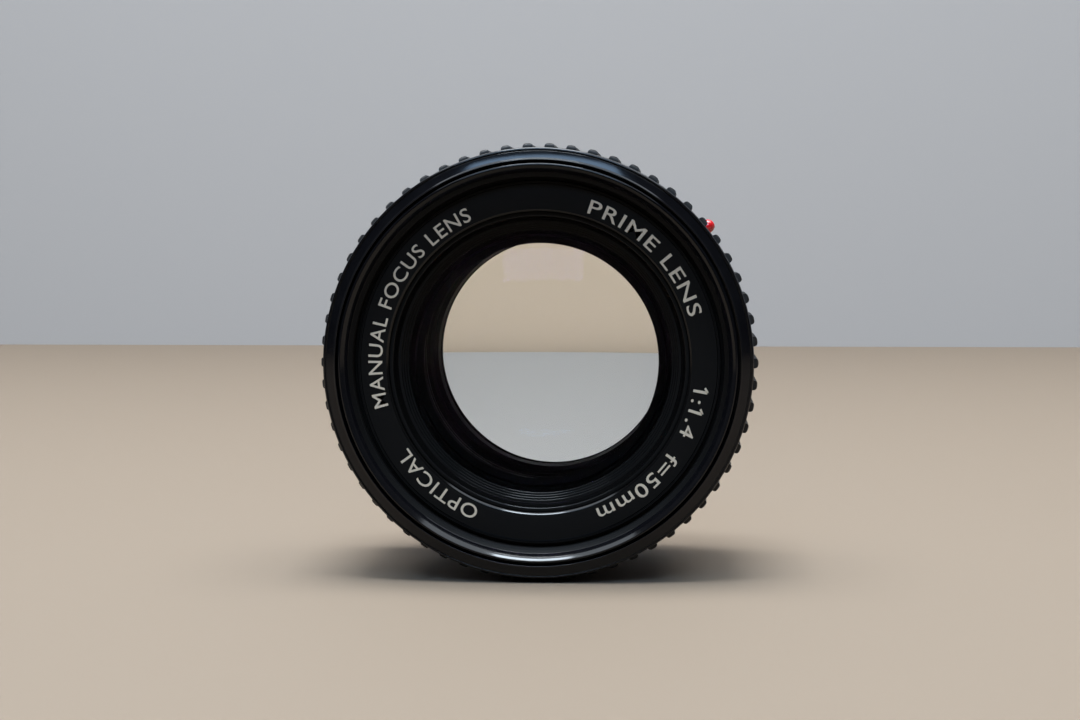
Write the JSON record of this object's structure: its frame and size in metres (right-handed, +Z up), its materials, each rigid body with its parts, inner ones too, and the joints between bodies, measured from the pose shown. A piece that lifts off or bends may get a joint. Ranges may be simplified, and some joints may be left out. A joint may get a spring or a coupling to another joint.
{
  "type": "prime camera lens",
  "caption": "Manual focus prime lens: glass elements in a turning focus ring, iris blades worked by a rear lever, aperture ring and a bayonet mount.",
  "frame": {"origin": "middle of the bounding box, on the surface the lens lies on, under the optical axis", "axes": "+Y out of the back along the optical axis, the mounting flange's normal; the front element faces -Y; +Z up; +X to the right seen from the front"},
  "size_m": [0.064, 0.048, 0.0638],
  "materials": {
    "black_anodised": "black anodised, satin",
    "inner_black": "matt black anti-reflection paint",
    "grip_rubber": "ribbed black rubber",
    "satin_chrome": "satin chrome",
    "bearing_brass": "cut thread, greased",
    "steel": "plain",
    "blade_steel": "blued spring steel",
    "optical_glass": "polished, multi-layer anti-reflection coating",
    "index_red": "gloss"
  },
  "bodies": {
    "barrel": {"rear_barrel": "black_anodised", "bayonet_mount": "satin_chrome", "mount_screw_1": "steel", "mount_screw_2": "steel", "mount_screw_3": "steel", "mount_screw_4": "steel", "mount_screw_5": "steel", "mount_skirt": "black_anodised", "index_bead": "index_red", "depth_scale_ring": "black_anodised", "scale_screw_1": "steel", "scale_screw_2": "steel", "scale_screw_3": "steel", "rear_cover": "inner_black", "click_spring": "steel", "return_spring": "steel"},
    "aperture_ring_body": {"aperture_ring": "black_anodised", "meter_lug": "black_anodised"},
    "stop_down": {"stop_down_ring": "steel", "stop_down_lever": "steel", "drive_prong": "steel"},
    "lens_head": {"head_barrel": "inner_black", "guide_key_1": "steel", "guide_key_2": "steel", "filter_ring": "black_anodised", "name_ring": "inner_black", "front_retainer": "inner_black", "front_cell": "inner_black", "front_spacer": "inner_black", "glass_1": "optical_glass", "glass_2": "optical_glass", "glass_3": "optical_glass", "glass_4": "optical_glass", "glass_5": "optical_glass", "glass_6": "optical_glass", "glass_7": "optical_glass", "iris_housing": "inner_black", "rear_cell": "inner_black", "middle_spacer": "inner_black", "rear_spacer": "inner_black", "rear_retainer": "inner_black"},
    "focus_ring_body": {"focus_ring": "black_anodised", "rubber_grip": "grip_rubber", "focus_helicoid": "bearing_brass", "helicoid_screw_1": "steel", "helicoid_screw_2": "steel", "helicoid_screw_3": "steel"},
    "cam_body": {"cam_ring": "steel"},
    "blade_body_1": {"blade_1": "blade_steel"},
    "blade_body_2": {"blade_2": "blade_steel"},
    "blade_body_3": {"blade_3": "blade_steel"},
    "blade_body_4": {"blade_4": "blade_steel"},
    "blade_body_5": {"blade_5": "blade_steel"},
    "blade_body_6": {"blade_6": "blade_steel"},
    "click_ball_body": {"click_ball": "steel"}
  },
  "joints": [
    {"name": "focus_slide", "type": "slide", "parent": "barrel", "child": "lens_head", "axis": [0, -1, 0], "range_m": [0, 0.0068]},
    {"name": "focus_turn", "type": "hinge", "parent": "lens_head", "child": "focus_ring_body", "pos_m": [0, -0.01205, 0.03191], "axis": [0, -1, 0], "range_deg": [0, 200]},
    {"name": "aperture_turn", "type": "hinge", "parent": "barrel", "child": "aperture_ring_body", "pos_m": [0, 0.00865, 0.03191], "axis": [0, 1, 0], "range_deg": [0, 50]},
    {"name": "stop_down_swing", "type": "hinge", "parent": "barrel", "child": "stop_down", "pos_m": [0, 0.01525, 0.03191], "axis": [0, -1, 0], "range_deg": [0, 25], "stiffness_Nm_per_rad": 0.02, "springref_deg": -11.46},
    {"name": "cam_turn", "type": "hinge", "parent": "lens_head", "child": "cam_body", "pos_m": [0, -0.00085, 0.03191], "axis": [0, -1, 0], "range_deg": [0, 25]},
    {"name": "blade_swing_1", "type": "hinge", "parent": "lens_head", "child": "blade_body_1", "pos_m": [0.0203, 0.00075, 0.03191], "axis": [0, -1, 0], "range_deg": [0, 37.5]},
    {"name": "blade_swing_2", "type": "hinge", "parent": "lens_head", "child": "blade_body_2", "pos_m": [0.01015, 0.00075, 0.04949], "axis": [0, -1, 0], "range_deg": [0, 37.5]},
    {"name": "blade_swing_3", "type": "hinge", "parent": "lens_head", "child": "blade_body_3", "pos_m": [-0.01015, 0.00075, 0.04949], "axis": [0, -1, 0], "range_deg": [0, 37.5]},
    {"name": "blade_swing_4", "type": "hinge", "parent": "lens_head", "child": "blade_body_4", "pos_m": [-0.0203, 0.00075, 0.03191], "axis": [0, -1, 0], "range_deg": [0, 37.5]},
    {"name": "blade_swing_5", "type": "hinge", "parent": "lens_head", "child": "blade_body_5", "pos_m": [-0.01015, 0.00075, 0.01433], "axis": [0, -1, 0], "range_deg": [0, 37.5]},
    {"name": "blade_swing_6", "type": "hinge", "parent": "lens_head", "child": "blade_body_6", "pos_m": [0.01015, 0.00075, 0.01433], "axis": [0, -1, 0], "range_deg": [0, 37.5]},
    {"name": "click_travel", "type": "slide", "parent": "barrel", "child": "click_ball_body", "axis": [-0.9063, 0, 0.4226], "range_m": [-0.0003, 0], "stiffness_N_per_m": 300, "springref_m": 0.0004}
  ],
  "couplings": [
    {"joint": "focus_slide", "follows": "focus_turn", "m_per_rad": 0.001948},
    {"joint": "cam_turn", "follows": "stop_down_swing", "ratio": 1},
    {"joint": "blade_swing_1", "follows": "stop_down_swing", "ratio": 1.5},
    {"joint": "blade_swing_2", "follows": "stop_down_swing", "ratio": 1.5},
    {"joint": "blade_swing_3", "follows": "stop_down_swing", "ratio": 1.5},
    {"joint": "blade_swing_4", "follows": "stop_down_swing", "ratio": 1.5},
    {"joint": "blade_swing_5", "follows": "stop_down_swing", "ratio": 1.5},
    {"joint": "blade_swing_6", "follows": "stop_down_swing", "ratio": 1.5}
  ]
}
